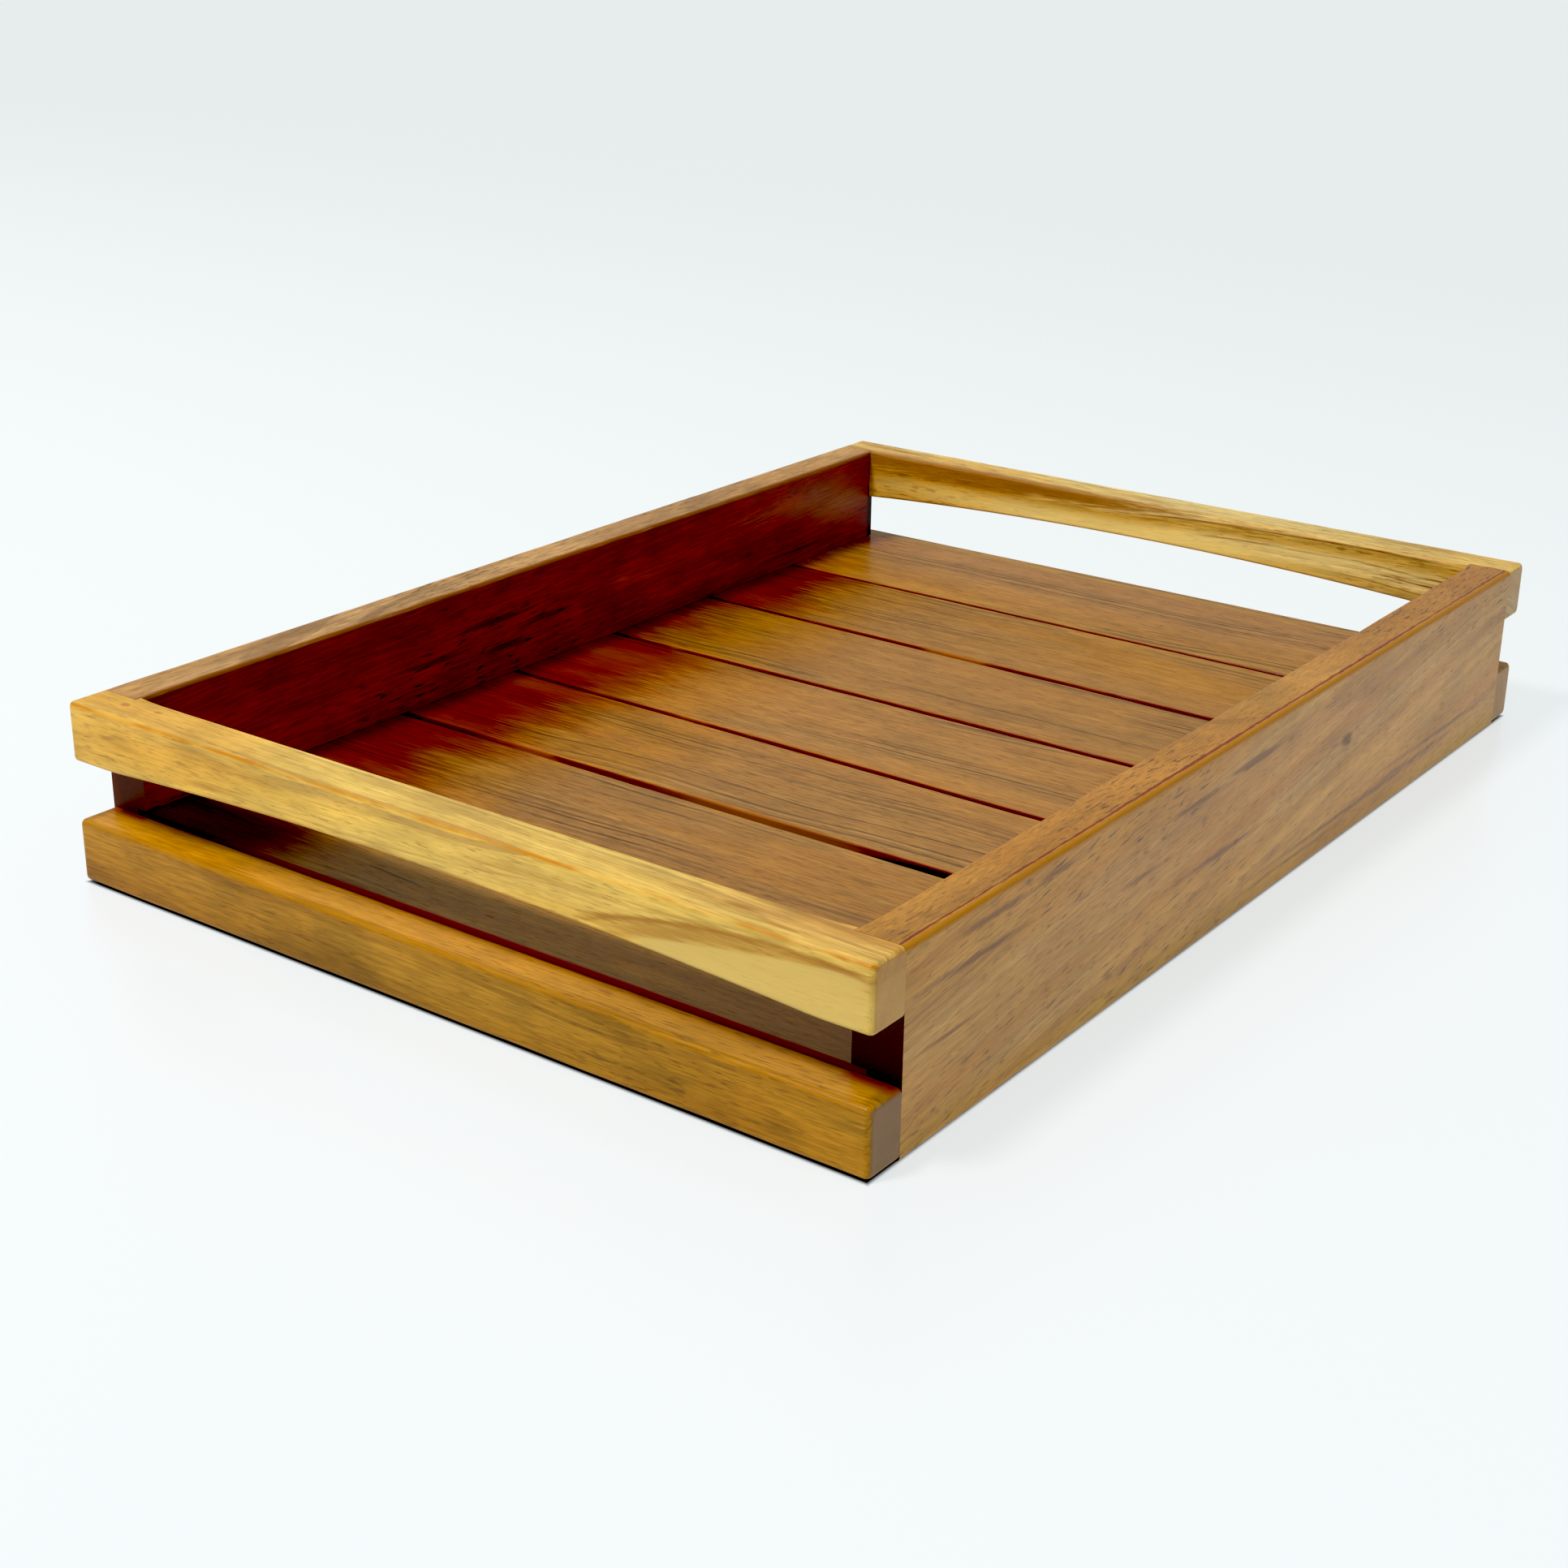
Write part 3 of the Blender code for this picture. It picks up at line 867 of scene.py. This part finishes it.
RIGHT_BOARD_MARKS = (
    # Darker foot, lilac middle and darker top face
    tint("box", ((RIGHT_OUTSIDE, 0.0, 0.0), (30.0, 220.0, 7.0)), 5.0, 2.0, (0.88, 0.84, 0.34), 1.0),
    tint(
        "oval", ((RIGHT_OUTSIDE, 10.0, 40.0), (4.0, 130.0, 14.0)), 2.0, 1.0, (0.98, 0.96, 1.15),
        0.9,
    ),
    tint("box", ((142.0, 0.0, 61.0), (7.4, 220.0, 1.6)), 0.6, 0.2, (0.78, 0.69, 0.47), 1.0),
    # Golden arris with a dark red line inside it, dark streaks, painted red shade inside, and a
    # knot
    Mark("box", ((149.4, 0.0, 59.6), (1.0, 220.0, 1.0)), 0.5, 0.5, (0.42, 0.17, 0.004), 0.85),
    Mark("box", ((147.8, 0.0, RIM), (0.4, 220.0, 1.0)), 0.25, 0.6, (0.16, 0.02, 0.003), 0.9),
    *streaks(RIGHT_OUTSIDE, RIGHT_STREAKS, RIGHT_STREAK, 0.65),
    tint("box", ((RIGHT_INSIDE, 0.0, 38.0), (1.2, 205.0, 21.4)), 0.4, 0.12, PAINTED_INNER_SHADE, 0.9),
    Mark("oval", ((RIGHT_OUTSIDE, 62.0, 36.0), (2.0, 4.0, 2.2)), 1.0, 0.4, (0.10, 0.05, 0.03), 0.7),
)


def make_rails():
    """The four rails across the ends."""
    front_upper = Wood(
        "handle_wood_front", 1.0, light=(0.80, 0.54, 0.108), middle=(0.60, 0.35, 0.055),
        dark=(0.26, 0.12, 0.04), tilt=(0.0, 0.0, 1.5), pith=(0.03, -0.07), rings=170.0, lines=0.45,
        streaks=0.5, flecks=0.4, fibre=0.15, mottle=0.12, arris=((0.47, 0.175, 0.003), 1.0),
        end=((0.42, 0.205, 0.075), 0.6), marks=FRONT_HANDLE_MARKS,
    )
    dress(handle_rail("front_handle_rail", -1, 1.0), "front_handle_rail", front_upper.material)
    front_lower = Wood(
        "lower_wood_front", 2.0, light=(0.39, 0.188, 0.014), middle=(0.285, 0.122, 0.004),
        dark=(0.11, 0.045, 0.006), tilt=(0.0, 0.0, -1.0), pith=(-0.04, -0.07), rings=150.0,
        lines=0.4, streaks=0.7, flecks=0.55, mottle=0.11, arris=((0.40, 0.16, 0.006), 0.6),
        end=((0.21, 0.13, 0.07), 0.8), marks=FRONT_LOWER_MARKS,
    )
    dress(lower_rail("front_lower_rail", -1, 2.0), "front_lower_rail", front_lower.material)
    rear_upper = Wood(
        "handle_wood_rear", 3.0, light=(0.90, 0.70, 0.25), middle=(0.58, 0.34, 0.05),
        dark=(0.18, 0.06, 0.004), tilt=(0.0, 2.0, 1.0), pith=(0.17, -0.02), rings=260.0,
        lines=0.9, streaks=0.9, flecks=0.6, marks=REAR_HANDLE_MARKS,
    )
    dress(handle_rail("rear_handle_rail", 1, 3.0), "rear_handle_rail", rear_upper.material)
    rear_lower = Wood(
        "lower_wood_rear", 4.0, light=(0.45, 0.24, 0.05), middle=(0.36, 0.17, 0.03),
        dark=(0.15, 0.06, 0.01), pith=(0.05, -0.05),
    )
    dress(lower_rail("rear_lower_rail", 1, 4.0), "rear_lower_rail", rear_lower.material)


def make_side_boards():
    """The two long boards on edge."""
    left = Wood(
        "side_wood_left", 5.0, light=(0.50, 0.29, 0.10), middle=(0.40, 0.20, 0.06),
        dark=(0.06, 0.018, 0.006), grain="Y", tilt=(0.0, 3.0, 0.0), pith=(0.12, -0.08), rings=200.0,
        shine=0.15, lines=0.35, streaks=0.45, flecks=0.95, fibre=0.3, mottle=0.15,
        arris=((0.20, 0.055, 0.005), 1.0), end=((0.085, 0.015, 0.001), 1.0), marks=LEFT_BOARD_MARKS,
    )
    dress(side_board("side_board_left", -1, 5.0), "side_board_left", left.material)
    right = Wood(
        "side_wood_right", 6.0, light=(0.59, 0.325, 0.088), middle=(0.47, 0.225, 0.052),
        dark=(0.13, 0.07, 0.045), grain="Y", tilt=(0.0, 7.0, 0.0), pith=(-0.12, -0.07), rings=190.0,
        lines=0.25, streaks=0.5, flecks=0.75, fibre=0.18, arris=((0.40, 0.16, 0.004), 0.9),
        end=((0.035, 0.003, 0.001), 1.0), marks=RIGHT_BOARD_MARKS,
    )
    dress(side_board("side_board_right", 1, 7.0), "side_board_right", right.material)


def slat_marks(number, front):
    """Stains and painted shade and light on one slat, its front edge at front, in millimetres."""
    stain, honey = SLAT_STAIN_AND_SHADE_REACH[number]
    left_end = (LEFT_INSIDE, 0.0, 20.0)
    marks = [
        # Partly a real stain, partly painted reflection and shade of the left board
        tint("box", (left_end, (honey, 300.0, 30.0)), 18.0, 9.0, HONEY, 0.9),
        tint("box", (left_end, (stain, 300.0, 30.0)), 20.0, 22.0, SLAT_STAIN_AND_SHADE, 1.0),
    ]
    if number == 3:
        # Amber along the front edge, partly lacquer and partly painted light where the key lights
        # the gap's wall, and painted shadow as the black hole where the gap opens at the right
        gap = front + 1.0
        amber = ((20.0, gap, 21.0), (44.0, 2.2, 4.0))
        black = ((102.0, gap, 17.5), (56.0, 5.0, 4.9))
        marks.append(Mark("oval", amber, 0.9, 1.3, (0.30, 0.095, 0.006), 0.85))
        marks.append(Mark("oval", black, 0.5, 0.3, (0.012, 0.001, 0.0005), 1.0))
    if number == 1:
        # Painted shadow of the front handle rail, deepest at the left, and red lacquer in the seam
        # with the lower rail
        edge = ((0.0, FRONT_JOINT, 20.0), (150.0, 23.0, 30.0))
        corner = ((LEFT_INSIDE, FRONT_JOINT, 20.0), (52.0, 22.0, 30.0))
        seam = ((30.0, FRONT_JOINT, 21.5), (118.0, 1.1, 3.0))
        marks.append(tint("box", edge, 6.0, 1.0, (0.68, 0.74, 0.46), 1.0))
        marks.append(tint("box", corner, 12.0, 5.0, (0.33, 0.20, 0.14), 0.95))
        marks.append(Mark("oval", seam, 0.35, 0.3, (0.25, 0.010, 0.003), 0.95))
    return marks


def make_floor():
    """The slats, each from its own stretch of timber."""
    for number in range(1, SLAT_COUNT + 1):
        low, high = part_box(f"floor_slat_{number}")
        middle_y = (low[1] + high[1]) / 2
        shade = 1.0 + SLAT_SHADE * math.sin(number * SLAT_SHADE_STEP)
        slat = Wood(
            f"slat_wood_{number}", SLAT_FIRST_SEED + number,
            light=tuple(channel * shade for channel in SLAT_LIGHT),
            middle=tuple(channel * shade for channel in SLAT_MIDDLE),
            dark=SLAT_DARK, tilt=(0.0, 0.0, SLAT_TILT * math.cos(number)),
            pith=(middle_y + SLAT_PITH_SHIFT * (-1) ** number, SLAT_PITH_DEPTH), gloss=0.26,
            # Amber gap arrises and red and amber walls: lacquer, painted highlight and painted
            # shade
            lines=0.75, streaks=0.25, flecks=0.3, arris=(GAP_AMBER, 0.9), sides=1.0,
            marks=slat_marks(number, low[1] / MM),
        )
        dress(floor_slat(number), f"floor_slat_{number}", slat.material)


def make_dowels():
    """Bare wood on the hidden dowels."""
    bare = Wood(
        "dowel_wood", 30.0, light=(0.66, 0.47, 0.27), middle=(0.58, 0.40, 0.21),
        dark=(0.35, 0.20, 0.09), grain="Y", pith=(0.02, 0.02), lines=0.2, streaks=0.2, gloss=0.6,
        shine=0.2,
    )
    for node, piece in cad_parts.items():
        if node.startswith("dowel"):
            piece.data.materials.clear()
            piece.data.materials.append(bare.material)


# ---------------------------------------------------------------- stage

# Sky: its tone, its strength from horizon to overhead, and the factor by which that changes from
# left to right, each with the directions between which it changes
PALE = (0.955, 0.985, 1.0, 1.0)
SKY_HEIGHTS = (0.0, 0.9)
SKY_STRENGTHS = (0.42, 0.64)
SKY_SIDES = (-0.6, 0.8)
SKY_FACTORS = (1.0, 1.05)

# Table, a little below the tray, and the painted shade of a dark footprint under it
FLOOR_HALF = 8.0
FLOOR_DROP = 0.1 * MM
FOOTPRINT_SHADE_COLOUR = (0.01, 0.01, 0.01, 1.0)
FOOTPRINT_EDGE = (-1.5 * MM, 0.5 * MM)
TABLE_COLOUR = (0.16, 0.165, 0.165, 1.0)
TABLE_NEAR_GLOW = (0.70, 0.73, 0.74, 1.0)
TABLE_FAR_GLOW = (0.575, 0.61, 0.60, 1.0)
TABLE_NEAR, TABLE_FAR = -0.4, 1.2
TABLE_ROUGHNESS = 0.30

# Key light, by its direction from the tray, and the black level that takes the lacquer's haze off
KEY_TOWARD = (-0.196, -0.491, 0.849)
KEY_DISTANCE = 3.0
KEY_SIZE = 0.5
KEY_POWER = 66.0
VEIL = 0.022


def make_table():
    """Plain pale table top that fills the view, with painted shade only right under the tray."""
    bm = bmesh.new()
    bmesh.ops.create_grid(bm, x_segments=1, y_segments=1, size=FLOOR_HALF)
    mesh = bpy.data.meshes.new("table_top")
    bm.to_mesh(mesh)
    bm.free()
    table = bpy.data.objects.new("table_top", mesh)
    table.location.z = -FLOOR_DROP
    bpy.context.scene.collection.objects.link(table)
    graph = Graph("pale_table")
    place = graph.add("ShaderNodeTexCoord", {}).outputs["Object"]
    x, y, _ = graph.add("ShaderNodeSeparateXYZ", {0: place}).outputs
    _, high = CAD_BOX
    past = graph.math("SUBTRACT", graph.math("ABSOLUTE", x), high[0])
    past = graph.math("MAXIMUM", past, graph.math("SUBTRACT", graph.math("ABSOLUTE", y), high[1]))
    open_air = graph.span(past, *FOOTPRINT_EDGE)
    glow = graph.mix(graph.span(y, TABLE_NEAR, TABLE_FAR), TABLE_NEAR_GLOW, TABLE_FAR_GLOW)
    inputs = graph.shader.inputs
    graph.feed(inputs["Base Color"], graph.mix(open_air, FOOTPRINT_SHADE_COLOUR, TABLE_COLOUR))
    inputs["Roughness"].default_value = TABLE_ROUGHNESS
    graph.feed(inputs["Emission Color"], glow)
    graph.feed(inputs["Emission Strength"], open_air)
    mesh.materials.append(graph.material)


def make_sky():
    """Pale light that is strongest overhead and a little stronger at the right."""
    world = bpy.data.worlds.new("pale_sky")
    world.use_nodes = True
    nodes, links = world.node_tree.nodes, world.node_tree.links
    background = nodes["Background"]
    background.inputs["Color"].default_value = PALE
    toward = nodes.new("ShaderNodeSeparateXYZ")
    links.new(nodes.new("ShaderNodeTexCoord").outputs["Generated"], toward.inputs[0])
    height = nodes.new("ShaderNodeMapRange")
    side = nodes.new("ShaderNodeMapRange")
    for ramp, axis, values in (
        (height, 2, (*SKY_HEIGHTS, *SKY_STRENGTHS)),
        (side, 0, (*SKY_SIDES, *SKY_FACTORS)),
    ):
        links.new(toward.outputs[axis], ramp.inputs[0])
        for index, value in enumerate(values, start=1):
            ramp.inputs[index].default_value = value
    strength = nodes.new("ShaderNodeMath")
    strength.operation = "MULTIPLY"
    links.new(height.outputs[0], strength.inputs[0])
    links.new(side.outputs[0], strength.inputs[1])
    links.new(strength.outputs[0], background.inputs["Strength"])
    bpy.context.scene.world = world


def make_softbox(name, place, target, size, power):
    """Square soft light aimed at a point."""
    light = bpy.data.lights.new(name, "AREA")
    light.size = size
    light.energy = power
    box = bpy.data.objects.new(name, light)
    box.location = place
    box.rotation_euler = (Vector(target) - Vector(place)).to_track_quat("-Z", "Y").to_euler()
    bpy.context.scene.collection.objects.link(box)


def make_camera():
    """Camera at the photograph's viewing angle."""
    data = bpy.data.cameras.new("camera")
    data.lens = CAMERA_LENS
    data.sensor_width = SENSOR_WIDTH
    camera = bpy.data.objects.new("camera", data)
    turn = Matrix.Rotation(math.radians(CAMERA_TURN), 4, "Z")
    pitch = Matrix.Rotation(math.radians(90.0 - CAMERA_PITCH), 4, "X")
    roll = Matrix.Rotation(math.radians(CAMERA_ROLL), 4, "Z")
    camera.matrix_world = Matrix.Translation(CAMERA_PLACE) @ turn @ pitch @ roll
    bpy.context.scene.collection.objects.link(camera)
    bpy.context.scene.camera = camera


def set_tones():
    """Plain tones, with the faint haze of the lacquer taken off as in the photograph."""
    tones = bpy.context.scene.view_settings
    tones.view_transform = "Standard"
    tones.use_curve_mapping = True
    tones.curve_mapping.black_level = (VEIL, VEIL, VEIL)
    tones.curve_mapping.update()


def main():
    """Build the visible tray, its stage, lights and camera."""
    make_camera()
    make_rails()
    make_side_boards()
    make_floor()
    make_dowels()
    make_table()
    make_sky()
    place = tuple(step * KEY_DISTANCE for step in KEY_TOWARD)
    make_softbox("key_light", place, (0.0, 0.0, 0.0), KEY_SIZE, KEY_POWER)
    set_tones()


main()
